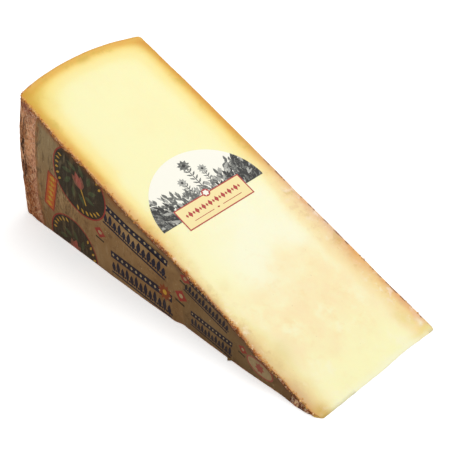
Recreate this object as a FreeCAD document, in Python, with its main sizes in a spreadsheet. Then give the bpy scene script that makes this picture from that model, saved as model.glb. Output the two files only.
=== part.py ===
import FreeCAD, Part
import math
import os

import Sketcher
from FreeCAD import Placement, Rotation, Vector

# A wedge cut from a wheel of hard alpine cheese, a sixteenth of the wheel. It lies on one
# cut face with its tip towards +X and its heel towards -X. The other cut face slopes up
# from the tip to the heel. The wheel's axis runs along Y, just past the blunt tip edge, and
# its two flat faces are the sides at -Y and +Y. A printed paper is glued to the one at -Y,
# and a label lies on the upper cut face. The origin is the middle of the bottom of the
# box that holds all three pieces, and +Z is up. Sizes are in millimetres and degrees.

SIZES = [
    ("flat_radius", 300.0),       # wheel axis to the corner between a flat face and the heel
    ("heel_bulge", 9.35),         # how far the heel's middle stands out past those corners
    ("wheel_height", 109.0),      # from one flat face to the other
    ("wedge_angle", 22.5),        # between the two cut faces
    ("tip_bluntness", 0.6),       # wheel axis to the tip edge, which crumbles at the cut
    ("rim_rounding", 5.0),        # radius where a flat face turns into the heel
    ("near_tip_rounding", 8.0),   # radius where the printed flat face turns into the tip edge
    ("far_tip_rounding", 3.0),    # the same at the other end of the tip edge
    ("paper_thickness", 0.3),
    ("bare_band", 20.0),          # bare rind between the paper and the flat face's corner
    ("bare_tip", 22.0),           # bare rind between the wheel axis and the paper
    ("paper_setback", 0.8),       # from each cut to the paper's edge beside it
    ("label_thickness", 0.2),
    ("label_radius", 44.75),      # of the label's half disc
    ("label_distance", 156.0),    # wheel axis to the half disc's straight side
    ("ribbon_length", 58.0),      # of the tab that stands out from that straight side
    ("ribbon_overhang", 8.5),     # how far the tab stands out towards the tip
]

CENTRE = 3  # Sketcher's number for the centre of an arc
ORIGIN = -1  # Sketcher's number for the horizontal axis, whose point 1 is the origin


def make_sizes_sheet(document):
    """Write every driving size into a sheet, each under its own alias."""
    sheet = document.addObject("Spreadsheet::Sheet", "Sizes")
    for row, (alias, value) in enumerate(SIZES, start=1):
        sheet.set(f"A{row}", alias)
        sheet.set(f"B{row}", str(value))
        sheet.setAlias(f"B{row}", alias)
    document.recompute()
    return sheet


def add_body(document, label):
    """Add an empty body and bind its place to the sheet, with the wheel axis as its Y axis."""
    body = document.addObject("PartDesign::Body", label)
    body.Label = label
    tip_reach = "Sizes.tip_bluntness * cos(Sizes.wedge_angle)"
    body.setExpression("Placement.Base.x",
                       f"(Sizes.flat_radius + Sizes.heel_bulge + {tip_reach}) / 2")
    body.setExpression("Placement.Base.y", "Sizes.paper_thickness / 2")
    return body


def add_sketch(body, name, plane_role):
    """Add a sketch that lies on one of the body's own origin planes."""
    sketch = body.newObject("Sketcher::SketchObject", name)
    plane = next(item for item in body.Origin.OriginFeatures if item.Role == plane_role)
    sketch.AttachmentSupport = [(plane, "")]
    sketch.MapMode = "FlatFace"
    return sketch


def bind(sketch, constraint, name, expression):
    """Add a dimension to a sketch, name it and bind it to the sheet."""
    index = sketch.addConstraint(constraint)
    sketch.renameConstraint(index, name)
    sketch.setExpression(f"Constraints.{name}", expression)


def close_outline(sketch, count):
    """Join the end of each of the first edges to the start of the next, all the way round."""
    for edge in range(count):
        sketch.addConstraint(Sketcher.Constraint("Coincident", edge, 2, (edge + 1) % count, 1))


def arc_between(centre, start, end):
    """An arc that runs anticlockwise about its centre, from start to end."""
    radius = math.dist(centre, start)
    first = math.atan2(start[1] - centre[1], start[0] - centre[0])
    last = math.atan2(end[1] - centre[1], end[0] - centre[0])
    circle = Part.Circle(Vector(*centre, 0), Vector(0, 0, 1), radius)
    return Part.ArcOfCircle(circle, first, last)


def line_between(start, end):
    return Part.LineSegment(Vector(*start, 0), Vector(*end, 0))


def wheel_section_points(sheet):
    """Work out where the edges of the wheel's section meet, for a heel that is one arc."""
    half = sheet.wheel_height / 2
    heel_radius = (half**2 + sheet.heel_bulge**2) / (2 * sheet.heel_bulge)
    heel_centre = (heel_radius - sheet.heel_bulge - sheet.flat_radius, 0)
    corner_y = half - sheet.rim_rounding
    reach = math.sqrt((heel_radius - sheet.rim_rounding) ** 2 - corner_y**2)
    corner_x = heel_centre[0] - reach
    scale = heel_radius / (heel_radius - sheet.rim_rounding)
    meet_x = heel_centre[0] - reach * scale
    meet_y = corner_y * scale
    return half, heel_centre, corner_x, corner_y, meet_x, meet_y


def make_cheese_wedge(document, sheet):
    """The paste with its rind: the wheel's section, turned about the wheel axis."""
    body = add_body(document, "cheese_wedge")
    sketch = add_sketch(body, "WheelSection", "XY_Plane")
    half, heel_centre, corner_x, corner_y, meet_x, meet_y = wheel_section_points(sheet)
    near_tip = sheet.near_tip_rounding
    far_tip = sheet.far_tip_rounding
    tip_x = -sheet.tip_bluntness

    near_tip_edge = (tip_x, near_tip - half)
    far_tip_edge = (tip_x, half - far_tip)
    far_tip_flat = (tip_x - far_tip, half)
    far_rim_flat = (corner_x, half)
    far_rim_heel = (meet_x, meet_y)
    near_rim_heel = (meet_x, -meet_y)
    near_rim_flat = (corner_x, -half)
    near_tip_flat = (tip_x - near_tip, -half)
    tip_edge, far_tip_arc, far_face, far_rim_arc, heel, near_rim_arc, near_face, near_tip_arc = range(8)
    outline = [
        line_between(near_tip_edge, far_tip_edge),
        arc_between((tip_x - far_tip, half - far_tip), far_tip_edge, far_tip_flat),
        line_between(far_tip_flat, far_rim_flat),
        arc_between((corner_x, corner_y), far_rim_flat, far_rim_heel),
        arc_between(heel_centre, far_rim_heel, near_rim_heel),
        arc_between((corner_x, -corner_y), near_rim_heel, near_rim_flat),
        line_between(near_rim_flat, near_tip_flat),
        arc_between((tip_x - near_tip, near_tip - half), near_tip_flat, near_tip_edge),
    ]
    sketch.addGeometry(outline, False)
    for edge in range(len(outline)):
        following = (edge + 1) % len(outline)
        sketch.addConstraint(Sketcher.Constraint("Tangent", edge, 2, following, 1))

    sketch.addConstraint(Sketcher.Constraint("PointOnObject", heel, CENTRE, ORIGIN))
    sketch.addConstraint(Sketcher.Constraint("Vertical", tip_edge))
    sketch.addConstraint(Sketcher.Constraint("Horizontal", near_face))
    sketch.addConstraint(Sketcher.Constraint("Horizontal", far_face))
    tip_place = Sketcher.Constraint("DistanceX", tip_edge, 1, ORIGIN, 1, sheet.tip_bluntness)
    bind(sketch, tip_place, "tip_bluntness", "Sizes.tip_bluntness")
    height = Sketcher.Constraint("DistanceY", near_face, 1, far_face, 1, 2 * half)
    bind(sketch, height, "height", "Sizes.wheel_height")
    lower_half = Sketcher.Constraint("DistanceY", near_face, 1, ORIGIN, 1, half)
    bind(sketch, lower_half, "lower_half", "Sizes.wheel_height / 2")
    heel_place = Sketcher.Constraint("DistanceX", heel, CENTRE, ORIGIN, 1, -heel_centre[0])
    heel_radius_formula = "((Sizes.wheel_height / 2)^2 + Sizes.heel_bulge^2) / (2 * Sizes.heel_bulge)"
    bind(sketch, heel_place, "heel_centre",
         f"Sizes.flat_radius + Sizes.heel_bulge - {heel_radius_formula}")
    heel_size = Sketcher.Constraint("Radius", heel, math.dist(heel_centre, far_rim_heel))
    bind(sketch, heel_size, "heel_radius", heel_radius_formula)
    far_rim = Sketcher.Constraint("Radius", far_rim_arc, sheet.rim_rounding)
    bind(sketch, far_rim, "far_rim_radius", "Sizes.rim_rounding")
    near_rim = Sketcher.Constraint("Radius", near_rim_arc, sheet.rim_rounding)
    bind(sketch, near_rim, "near_rim_radius", "Sizes.rim_rounding")
    far_end = Sketcher.Constraint("Radius", far_tip_arc, far_tip)
    bind(sketch, far_end, "far_tip_radius", "Sizes.far_tip_rounding")
    near_end = Sketcher.Constraint("Radius", near_tip_arc, near_tip)
    bind(sketch, near_end, "near_tip_radius", "Sizes.near_tip_rounding")

    turn = body.newObject("PartDesign::Revolution", "WedgeTurn")
    turn.Profile = sketch
    turn.ReferenceAxis = (sketch, ["V_Axis"])
    turn.setExpression("Angle", "Sizes.wedge_angle")
    return body


def make_rind_paper(document, sheet):
    """The printed paper on the flat face at -Y: a ring sector, trimmed back from both cuts."""
    body = add_body(document, "rind_paper")
    body.setExpression("Placement.Base.y", "(Sizes.paper_thickness - Sizes.wheel_height) / 2")
    sketch = add_sketch(body, "PaperSector", "XZ_Plane")
    outer = sheet.flat_radius - sheet.bare_band
    inner = sheet.bare_tip
    setback = sheet.paper_setback
    slope = math.radians(sheet.wedge_angle)

    def beside_lower_cut(radius):
        return (-math.sqrt(radius**2 - setback**2), setback)

    def beside_upper_cut(radius):
        angle = slope - math.asin(setback / radius)
        return (-radius * math.cos(angle), radius * math.sin(angle))

    lower_side, inner_arc, upper_side, outer_arc = range(4)
    sketch.addGeometry([
        line_between(beside_lower_cut(outer), beside_lower_cut(inner)),
        arc_between((0, 0), beside_upper_cut(inner), beside_lower_cut(inner)),
        line_between(beside_upper_cut(inner), beside_upper_cut(outer)),
        arc_between((0, 0), beside_upper_cut(outer), beside_lower_cut(outer)),
    ], False)
    sketch.addConstraint(Sketcher.Constraint("Coincident", lower_side, 2, inner_arc, 2))
    sketch.addConstraint(Sketcher.Constraint("Coincident", inner_arc, 1, upper_side, 1))
    sketch.addConstraint(Sketcher.Constraint("Coincident", upper_side, 2, outer_arc, 1))
    sketch.addConstraint(Sketcher.Constraint("Coincident", outer_arc, 2, lower_side, 1))
    sketch.addConstraint(Sketcher.Constraint("Coincident", inner_arc, CENTRE, ORIGIN, 1))
    sketch.addConstraint(Sketcher.Constraint("Coincident", outer_arc, CENTRE, ORIGIN, 1))
    sketch.addConstraint(Sketcher.Constraint("Horizontal", lower_side))
    lower_setback = Sketcher.Constraint("Distance", ORIGIN, 1, lower_side, setback)
    bind(sketch, lower_setback, "lower_setback", "Sizes.paper_setback")
    upper_setback = Sketcher.Constraint("Distance", ORIGIN, 1, upper_side, setback)
    bind(sketch, upper_setback, "upper_setback", "Sizes.paper_setback")
    spread = Sketcher.Constraint("Angle", lower_side, 2, upper_side, 1, -slope)
    bind(sketch, spread, "spread", "-Sizes.wedge_angle")
    outer_size = Sketcher.Constraint("Radius", outer_arc, outer)
    bind(sketch, outer_size, "outer_radius", "Sizes.flat_radius - Sizes.bare_band")
    inner_size = Sketcher.Constraint("Radius", inner_arc, inner)
    bind(sketch, inner_size, "inner_radius", "Sizes.bare_tip")

    pad = body.newObject("PartDesign::Pad", "PaperPad")
    pad.Profile = sketch
    pad.setExpression("Length", "Sizes.paper_thickness")
    return body


def make_cut_label(document, sheet):
    """The label on the upper cut face: a half disc with a tab on its straight side."""
    body = add_body(document, "cut_label")
    body.Placement = Placement(body.Placement.Base, Rotation(Vector(0, 1, 0), sheet.wedge_angle))
    body.setExpression("Placement.Rotation.Angle", "Sizes.wedge_angle")
    sketch = add_sketch(body, "LabelOutline", "XY_Plane")
    side = -sheet.label_distance
    tab_edge = side + sheet.ribbon_overhang
    disc_end = sheet.label_radius
    tab_end = sheet.ribbon_length / 2

    dome, near_side, near_tab, front, far_tab, far_side = range(6)
    corners = [
        (side, -disc_end),
        (side, -tab_end),
        (tab_edge, -tab_end),
        (tab_edge, tab_end),
        (side, tab_end),
        (side, disc_end),
    ]
    straight_edges = [line_between(*pair) for pair in zip(corners, corners[1:])]
    sketch.addGeometry([arc_between((side, 0), corners[-1], corners[0]), *straight_edges], False)
    close_outline(sketch, 6)
    for edge in (near_side, far_side):
        sketch.addConstraint(Sketcher.Constraint("Vertical", edge))
    for edge in (near_tab, far_tab):
        sketch.addConstraint(Sketcher.Constraint("Horizontal", edge))
    sketch.addConstraint(Sketcher.Constraint("PointOnObject", dome, CENTRE, ORIGIN))
    sketch.addConstraint(Sketcher.Constraint("Vertical", dome, 1, dome, CENTRE))
    sketch.addConstraint(Sketcher.Constraint("Vertical", dome, 2, dome, CENTRE))
    sketch.addConstraint(Sketcher.Constraint("Symmetric", front, 1, front, 2, ORIGIN))
    place = Sketcher.Constraint("DistanceX", dome, CENTRE, ORIGIN, 1, sheet.label_distance)
    bind(sketch, place, "distance", "Sizes.label_distance")
    size = Sketcher.Constraint("Radius", dome, sheet.label_radius)
    bind(sketch, size, "radius", "Sizes.label_radius")
    tab_length = Sketcher.Constraint("DistanceY", front, 1, front, 2, sheet.ribbon_length)
    bind(sketch, tab_length, "tab_length", "Sizes.ribbon_length")
    overhang = Sketcher.Constraint("DistanceX", near_tab, 1, near_tab, 2, sheet.ribbon_overhang)
    bind(sketch, overhang, "overhang", "Sizes.ribbon_overhang")

    pad = body.newObject("PartDesign::Pad", "LabelPad")
    pad.Profile = sketch
    pad.setExpression("Length", "Sizes.label_thickness")
    return body


def check_document(document, bodies):
    """Stop if a feature failed or a piece isn't one valid solid."""
    for item in document.Objects:
        if "Invalid" in item.State or "Error" in item.State:
            raise RuntimeError(f"{item.Label} failed to build: {item.State}")
    for body in bodies:
        shape = body.Shape
        if shape.isNull() or not shape.isValid() or len(shape.Solids) != 1:
            raise RuntimeError(f"{body.Label} isn't one valid solid")


document = FreeCAD.newDocument("CheeseWedge")
sizes_sheet = make_sizes_sheet(document)
pieces = [
    make_cheese_wedge(document, sizes_sheet),
    make_rind_paper(document, sizes_sheet),
    make_cut_label(document, sizes_sheet),
]
document.recompute()
check_document(document, pieces)

os.makedirs("parts", exist_ok=True)
for piece in pieces:
    piece.Shape.exportStep(f"parts/{piece.Label}.step")
    box = piece.Shape.BoundBox
    print(f"{piece.Label}: volume {piece.Shape.Volume:.1f} mm3, "
          f"X {box.XMin:.2f}..{box.XMax:.2f}, Y {box.YMin:.2f}..{box.YMax:.2f}, "
          f"Z {box.ZMin:.2f}..{box.ZMax:.2f}")
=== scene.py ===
import math
import random

import bpy
from mathutils import Euler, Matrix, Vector
from mathutils.bvhtree import BVHTree
from mathutils.geometry import delaunay_2d_cdt


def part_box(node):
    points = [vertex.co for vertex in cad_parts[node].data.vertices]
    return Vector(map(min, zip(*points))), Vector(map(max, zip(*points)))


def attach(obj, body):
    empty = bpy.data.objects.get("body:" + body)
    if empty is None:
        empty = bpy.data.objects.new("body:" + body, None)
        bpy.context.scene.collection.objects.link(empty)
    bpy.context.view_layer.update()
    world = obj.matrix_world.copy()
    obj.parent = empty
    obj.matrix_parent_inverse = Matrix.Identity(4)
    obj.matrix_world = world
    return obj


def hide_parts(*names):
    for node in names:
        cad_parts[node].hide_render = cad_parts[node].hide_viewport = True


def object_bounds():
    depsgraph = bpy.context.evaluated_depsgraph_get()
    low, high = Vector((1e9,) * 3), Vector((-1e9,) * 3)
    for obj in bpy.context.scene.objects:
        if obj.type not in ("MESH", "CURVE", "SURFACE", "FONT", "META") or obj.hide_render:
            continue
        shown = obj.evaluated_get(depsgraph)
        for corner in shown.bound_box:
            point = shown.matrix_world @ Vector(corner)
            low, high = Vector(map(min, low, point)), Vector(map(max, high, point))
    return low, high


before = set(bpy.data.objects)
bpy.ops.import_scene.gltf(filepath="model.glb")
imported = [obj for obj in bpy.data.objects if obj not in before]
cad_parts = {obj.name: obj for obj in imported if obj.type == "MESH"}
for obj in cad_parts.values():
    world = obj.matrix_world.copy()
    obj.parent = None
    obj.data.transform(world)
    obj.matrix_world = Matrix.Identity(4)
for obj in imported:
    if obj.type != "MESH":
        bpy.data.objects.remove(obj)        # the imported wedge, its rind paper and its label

CAD_BOX = [list(corner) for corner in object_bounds()]


# ---- The wedge of cheese -------------------------------------------------------------------
# A sixteenth of a wheel of pressed, brine-rubbed mountain cheese, cut by knife. The paste is
# dense and pale, darker and drier towards the outside. The rind is the skin that months of
# rubbing with brine leave: brown, grainy, pitted and cracked, and crumbly where it is cut.

MM = 0.001    # metres; every size below is in millimetres unless it says otherwise


def box_in_mm(node):
    """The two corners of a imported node's box, in millimetres."""
    return [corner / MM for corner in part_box(node)]


low, high = box_in_mm("cheese_wedge")
WEDGE_ANGLE = math.radians(22.5)
HEEL_REACH = high.z / math.sin(WEDGE_ANGLE)        # wheel axis to the middle of the heel
HEEL_BULGE = 9.35                                  # how far that stands past the heel's corners
AXIS_X = low.x + HEEL_REACH
MIDDLE_Y = (low.y + high.y) / 2
BARE_TIP = 22                                      # rind left bare round the wheel axis
PAPER_REACH = AXIS_X - box_in_mm("rind_paper")[0].x  # wheel axis to the paper's round edge


def feed(value, socket):
    """Give a socket a field, another socket or a plain value."""
    if isinstance(value, Field):
        value = value.socket
    if isinstance(value, bpy.types.NodeSocket):
        socket.id_data.links.new(value, socket)
    else:
        socket.default_value = value


class Field:
    """A number that a node tree works out. Arithmetic on it adds Math nodes to the tree."""

    def __init__(self, socket):
        self.socket = socket

    def math(self, operation, *others):
        node = self.socket.id_data.nodes.new("ShaderNodeMath")
        node.operation = operation
        for value, socket in zip((self, *others), node.inputs):
            feed(value, socket)
        return Field(node.outputs[0])

    def __add__(self, other):
        return self.math("ADD", other)

    def __sub__(self, other):
        return self.math("SUBTRACT", other)

    def __mul__(self, other):
        return self.math("MULTIPLY", other)

    def __truediv__(self, other):
        return self.math("DIVIDE", other)

    def __neg__(self):
        return self * -1.0

    def __rsub__(self, other):
        return -self + other

    __radd__ = __add__
    __rmul__ = __mul__

    def least(self, other):
        return self.math("MINIMUM", other)

    def most(self, other):
        return self.math("MAXIMUM", other)

    def sin(self):
        return self.math("SINE")

    def cos(self):
        return self.math("COSINE")

    def bell(self, middle, reach):
        """1 at middle, 0.37 a reach away and nearly 0 two reaches away."""
        away = (self - middle) / reach
        return (away * away * -1.0).math("EXPONENT")

    def step(self, low_end, high_end):
        """0 below low_end, 1 above high_end and smooth between them, or the other way round."""
        node = self.socket.id_data.nodes.new("ShaderNodeMapRange")
        node.interpolation_type = "SMOOTHSTEP"
        rising = low_end < high_end
        ends = (low_end, high_end, 0, 1) if rising else (high_end, low_end, 1, 0)
        for value, socket in zip((self, *ends), node.inputs):
            feed(value, socket)
        return Field(node.outputs[0])


def tree_of(*parts):
    """The node tree of the first field or socket among some values."""
    sockets = [part.socket if isinstance(part, Field) else part for part in parts]
    return next(part.id_data for part in sockets if isinstance(part, bpy.types.NodeSocket))


def joined(x, y, z):
    """A vector from three numbers."""
    node = tree_of(x, y, z).nodes.new("ShaderNodeCombineXYZ")
    for value, socket in zip((x, y, z), node.inputs):
        feed(value, socket)
    return node.outputs[0]


def spot(x, y, z):
    """A place in metres from three numbers in millimetres."""
    return joined(x * MM, y * MM, z * MM)


def split(vector):
    """The three numbers of a vector."""
    node = vector.id_data.nodes.new("ShaderNodeSeparateXYZ")
    feed(vector, node.inputs[0])
    return [Field(socket) for socket in node.outputs]


def cloudy(place, size, detail=4, roughness=0.6, salt=0):
    """Soft noise between 0 and 1 with spots about size millimetres across.

    Salt picks another one.
    """
    node = place.id_data.nodes.new("ShaderNodeTexNoise")
    node.noise_dimensions = "4D"
    for name, value in (("Vector", place), ("W", salt), ("Scale", 1 / (size * MM)),
                        ("Detail", detail), ("Roughness", roughness)):
        feed(value, node.inputs[name])
    return Field(node.outputs["Fac"])


def cracked(place, size):
    """Distance to the nearest edge of a net of cells size millimetres across, in cell sizes."""
    node = place.id_data.nodes.new("ShaderNodeTexVoronoi")
    node.feature = "DISTANCE_TO_EDGE"
    feed(place, node.inputs["Vector"])
    feed(1 / (size * MM), node.inputs["Scale"])
    return Field(node.outputs["Distance"])


def geometry_tree(name, **inputs):
    """An empty Geometry Nodes tree whose inputs are named under their kinds, and the inputs."""
    tree = bpy.data.node_groups.new(name, "GeometryNodeTree")
    tree.interface.new_socket("Geometry", in_out="OUTPUT", socket_type="NodeSocketGeometry")
    given = {}
    for kind, labels in inputs.items():
        for label in labels:
            tree.interface.new_socket(label, in_out="INPUT", socket_type="NodeSocket" + kind)
            given[label] = kind
    sockets = tree.nodes.new("NodeGroupInput").outputs
    for label, kind in given.items():
        plain = kind in ("Geometry", "Material")
        given[label] = sockets[label] if plain else Field(sockets[label])
    return tree, given


def add_node(tree, kind, settings=None, **inputs):
    """Add a node, with its settings and what feeds its sockets. An underscore is a space."""
    node = tree.nodes.new(kind)
    for name, value in (settings or {}).items():
        setattr(node, name, value)
    for name, value in inputs.items():
        feed(value, node.inputs[name.replace("_", " ")])
    return node


def new_object(name, data):
    """Put some data into the scene as an object at the origin."""
    item = bpy.data.objects.new(name, data)
    bpy.context.scene.collection.objects.link(item)
    return item


def grown(name, tree, values, base=None):
    """Run a tree on a mesh with its inputs set, and return the result as a plain object."""
    seed = new_object(name + "_seed", base or bpy.data.meshes.new(name + "_seed"))
    modifier = seed.modifiers.new("grow", "NODES")
    modifier.node_group = tree
    for item in tree.interface.items_tree:
        if item.in_out == "INPUT" and item.name in values:
            modifier[item.identifier] = values[item.name]
    graph = bpy.context.evaluated_depsgraph_get()
    mesh = bpy.data.meshes.new_from_object(seed.evaluated_get(graph), preserve_all_data_layers=True,
                                           depsgraph=graph)
    bpy.data.objects.remove(seed)
    mesh.name = name
    return new_object(name, mesh)


def round_off(first, second, radius):
    """Turn the corner between two faces of a section into an arc.

    first and second are a point's distances from the faces. Points deeper in keep their own
    depth and follow a smaller arc, so the lines of a grid stay apart.
    """
    depth = first.least(second)
    arc = (radius - depth).most(1e-4)
    along = second - first
    turn = ((along / arc).most(-1).least(1) + 1) * (math.pi / 4)
    past_first = (-along - arc).most(0)
    past_second = (along - arc).most(0)
    new_first = depth + arc * (1 - turn.sin()) + past_first
    new_second = depth + arc * (1 - turn.cos()) + past_second
    return new_first, new_second


def wedge_tree():
    """Map the faces of a finely divided cube onto the wedge, and give the rind its relief."""
    tree, size = geometry_tree("wheel_wedge", Float=(
        "Heel Reach", "Heel Bulge", "Height", "Wedge Angle", "Near Rim Rounding",
        "Far Rim Rounding", "Near Tip Rounding", "Far Tip Rounding", "Rind Relief", "Cut Relief",
        "Seed"), Material=("Paste", "Rind"))
    cube = add_node(tree, "GeometryNodeMeshCube", Vertices_X=191, Vertices_Y=87, Vertices_Z=119)
    facing = split(tree.nodes.new("GeometryNodeInputNormal").outputs[0])
    is_cut = facing[2].math("ABSOLUTE").math("GREATER_THAN", 0.5)
    marked = add_node(tree, "GeometryNodeStoreNamedAttribute", {"domain": "FACE"},
                      Geometry=cube.outputs[0], Name="cut", Value=is_cut)

    # the cube's X, Y and Z run along the radius, the wheel's height and the angle, with the
    # grid lines closer together towards the heel, the flat faces and the cuts
    cube_x, cube_y, cube_z = split(tree.nodes.new("GeometryNodeInputPosition").outputs[0])
    outward = 0.5 - cube_x
    across = cube_y + 0.5
    turned = cube_z + 0.5
    outward = outward + (outward * math.pi).sin() * (0.5 / math.pi)
    across = across - (across * math.tau).sin() * (0.5 / math.tau)
    turned = turned - (turned * math.tau).sin() * (0.35 / math.tau)

    # the wheel's section: a straight tip, flat faces and a bulging heel, with rounded corners
    half = size["Height"] / 2
    middle = across * 2 - 1
    side = middle.math("SIGN")
    heel = size["Heel Reach"] - size["Heel Bulge"] * middle * middle
    heel_depth = heel * (1 - outward)
    flat_depth = half * (1 - middle * side)
    near_share = middle.step(0.05, -0.05)
    rim_rounding, tip_rounding = [
        size[f"Far {end} Rounding"] * (1 - near_share) + size[f"Near {end} Rounding"] * near_share
        for end in ("Rim", "Tip")]
    heel_depth, flat_depth = round_off(heel_depth, flat_depth, rim_rounding)
    radius, flat_depth = round_off(heel - heel_depth, flat_depth, tip_rounding)
    from_middle = side * (half - flat_depth)
    near_depth = half + from_middle
    far_depth = half - from_middle

    # how close each point is to a face, as a share: 1 on the face, 0 a few millimetres in
    at_heel = heel_depth.step(5, 0)
    at_near = near_depth.step(5, 0)
    at_far = far_depth.step(5, 0)
    at_upper_cut = turned.step(0.93, 1)
    at_lower_cut = turned.step(0.07, 0)
    papered = (at_near * radius.step(BARE_TIP - 1, BARE_TIP + 2)
               * radius.step(PAPER_REACH + 1, PAPER_REACH - 2))

    # unevenness by hand's breadths: the printed face dips along the upper cut, swells at the rim
    # and low down, and steps back at a fold in the paper; the heel leans out at its foot
    angle = size["Wedge Angle"] * turned
    ahead = radius * angle.cos()
    above = radius * angle.sin()
    rim_swell = radius.bell(252, 18) * turned
    dip = radius.step(178, 148) * radius.step(48, 78) * turned.step(0.3, 1) * 2
    for at_radius, reach, out in ((136, 11, 0.8), (64, 11, 0.8), (35, 9, -1.1)):
        dip = dip - radius.bell(at_radius, reach) * turned.step(0.5, 1) * out
    past_fold = ahead.step(118.8, 120.2)
    belly = ahead.step(260, 150) * past_fold * 1.75 + ahead.bell(17, 9) + ahead.bell(72, 26)
    fold = ahead.step(130, 121) * past_fold * above.step(17, 0) * 1.9
    belly = belly * turned.step(0.5, 0) - fold
    tip_turn = radius.step(9, 0) * 1.5
    at_corner = middle * middle * 0.9
    foot = (turned.step(0.32, 0) * 2.4
            - turned.step(0.7, 1) * (1.15 - at_corner)
            - turned.bell(0.89, 0.06) * near_share * 0.6)
    worn_foot = ahead.step(281, 299) * above.step(12, 0) * 1.6
    taper = radius.step(215, 300) * turned.step(0.3, 1) * 1.2

    # the rind's own relief: lumps, pits and cracks, all but pressed flat under the paper
    place = spot(ahead, from_middle, above)
    salt = size["Seed"]
    swell = cloudy(place, 38, 2, 0.5, salt) - 0.5
    lumps = cloudy(place, 5.5, 5, 0.62, salt + 1) - 0.5
    pits = cloudy(place, 3.4, 2, 0.5, salt + 2).step(0.62, 0.76)
    bent = spot(ahead + lumps * 8, from_middle + lumps * 8, above * 0.30)
    at_rim = at_near * heel_depth.step(16, 8)
    cracks = (cracked(bent, 9).step(0.09, 0)
              * (cloudy(place, 24, 2, 0.5, salt + 3) + at_rim * 0.07).step(0.50, 0.60))
    grain = lumps * 1.7 - pits * 0.6 - cracks * 0.55
    clean_edge = (1 - at_near) * ((1 - turned) * radius).step(9, 2)
    bareness = (1 - papered * 0.88) * (1 - clean_edge * 0.75) * (1 - at_heel * at_near * 0.5)
    relief = grain * bareness * size["Rind Relief"]
    skin_shift = relief + swell * 1.6

    # the cuts: broad waves, and crumbs where the knife left the rind
    waves = cloudy(place, 70, 2, 0.5, salt + 4) - 0.5
    ripples = cloudy(place, 9, 3, 0.5, salt + 5) - 0.5
    crumbly = cloudy(place, 2.6, 3, salt=salt + 6) - 0.5
    rind_edge = (near_depth.step(2.6, 0.6)
                 + heel_depth.least(far_depth).step(2, 0.5) * 0.3).least(1)
    cut_shift = (waves * 4 + ripples * 0.8) * size["Cut Relief"] + crumbly * rind_edge * 1.1
    worn = cloudy(spot(0, from_middle, 0), 9, 3, salt=salt + 7)
    hollow = from_middle.bell(26, 13)
    tip_wear = (worn * 1.4 - 1.3 + middle * 0.2 + hollow * 0.9) * radius.step(12, 0)

    outer = radius + (skin_shift + foot) * at_heel
    lift = cut_shift * at_upper_cut
    tucked = relief.least(0) * at_lower_cut * 0.3
    place_y = (from_middle - (skin_shift + rim_swell - dip - tip_turn + belly) * at_near
               + (skin_shift - taper - 0.2) * at_far)
    place_x = -(outer * angle.cos()) + lift * math.sin(WEDGE_ANGLE) - tip_wear
    place_z = (outer * angle.sin() + lift * math.cos(WEDGE_ANGLE) - tucked).most(0) + worn_foot

    # the attributes are worked out from the cube's own grid, so they are stored before the move
    stored = marked
    for name, value in (("depths", joined(heel_depth, near_depth, far_depth)),
                        ("wheel_place", joined(radius, turned, relief))):
        stored = add_node(tree, "GeometryNodeStoreNamedAttribute", {"data_type": "FLOAT_VECTOR"},
                          Geometry=stored.outputs[0], Name=name, Value=value)
    placed = add_node(tree, "GeometryNodeSetPosition", Geometry=stored.outputs[0],
                      Position=spot(place_x + AXIS_X, place_y + MIDDLE_Y, place_z))
    welded = add_node(tree, "GeometryNodeMergeByDistance", Geometry=placed.outputs[0],
                      Distance=0.001 * MM)
    smooth = add_node(tree, "GeometryNodeSetShadeSmooth", Geometry=welded.outputs[0])
    real = add_node(tree, "GeometryNodeRealizeInstances", Geometry=smooth.outputs[0])
    rind = add_node(tree, "GeometryNodeSetMaterial", Geometry=real.outputs[0],
                    Material=size["Rind"])
    cut = add_node(tree, "GeometryNodeInputNamedAttribute", Name="cut")
    paste = add_node(tree, "GeometryNodeSetMaterial", Geometry=rind.outputs[0],
                     Selection=cut.outputs[0], Material=size["Paste"])
    feed(paste.outputs[0], tree.nodes.new("NodeGroupOutput").inputs[0])
    return tree


def colour(code):
    """A colour written as six hexadecimal digits, as the light values that shaders take."""
    levels = [int(code[place:place + 2], 16) / 255 for place in (0, 2, 4)]
    light = [level / 12.92 if level <= 0.04045 else ((level + 0.055) / 1.055) ** 2.4
             for level in levels]
    return (*light, 1.0)


def new_material(name, roughness, **settings):
    """A material with one Principled shader, whose even values are set on its own sockets."""
    material = bpy.data.materials.new(name)
    material.use_nodes = True
    tree = material.node_tree
    shader = tree.nodes["Principled BSDF"]
    shader.inputs["Roughness"].default_value = roughness
    for label, value in settings.items():
        shader.inputs[label.replace("_", " ")].default_value = value
    return material, tree, shader


def object_place(tree):
    """A point's place in the object's own coordinates."""
    return tree.nodes.new("ShaderNodeTexCoord").outputs["Object"]


def noted(tree, name):
    """The three numbers that a mesh carries under a name."""
    node = tree.nodes.new("ShaderNodeAttribute")
    node.attribute_name = name
    return split(node.outputs["Vector"])


def mixed(share, first, second, style="MIX"):
    """Blend two colours. Each is a six-digit code or a socket."""
    node = tree_of(share, first, second).nodes.new("ShaderNodeMix")
    node.data_type = "RGBA"
    node.blend_type = style
    feed(share, node.inputs["Factor"])
    for value, socket in ((first, node.inputs[6]), (second, node.inputs[7])):
        feed(colour(value) if isinstance(value, str) else value, socket)
    return node.outputs[2]


def coated(tint, coats):
    """Lay coats over a colour. Each is a share and a colour, and a blend style if not plain."""
    for share, *coat in coats:
        tint = mixed(share, tint, *coat)
    return tint


def ramp(share, stops):
    """A colour that follows a list of (share, code) stops."""
    node = tree_of(share).nodes.new("ShaderNodeValToRGB")
    feed(share, node.inputs[0])
    elements = node.color_ramp.elements
    while len(elements) < len(stops):
        elements.new(0.5)
    for element, (position, code) in zip(elements, stops):
        element.position = position
        element.color = colour(code)
    return node.outputs[0]


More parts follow.
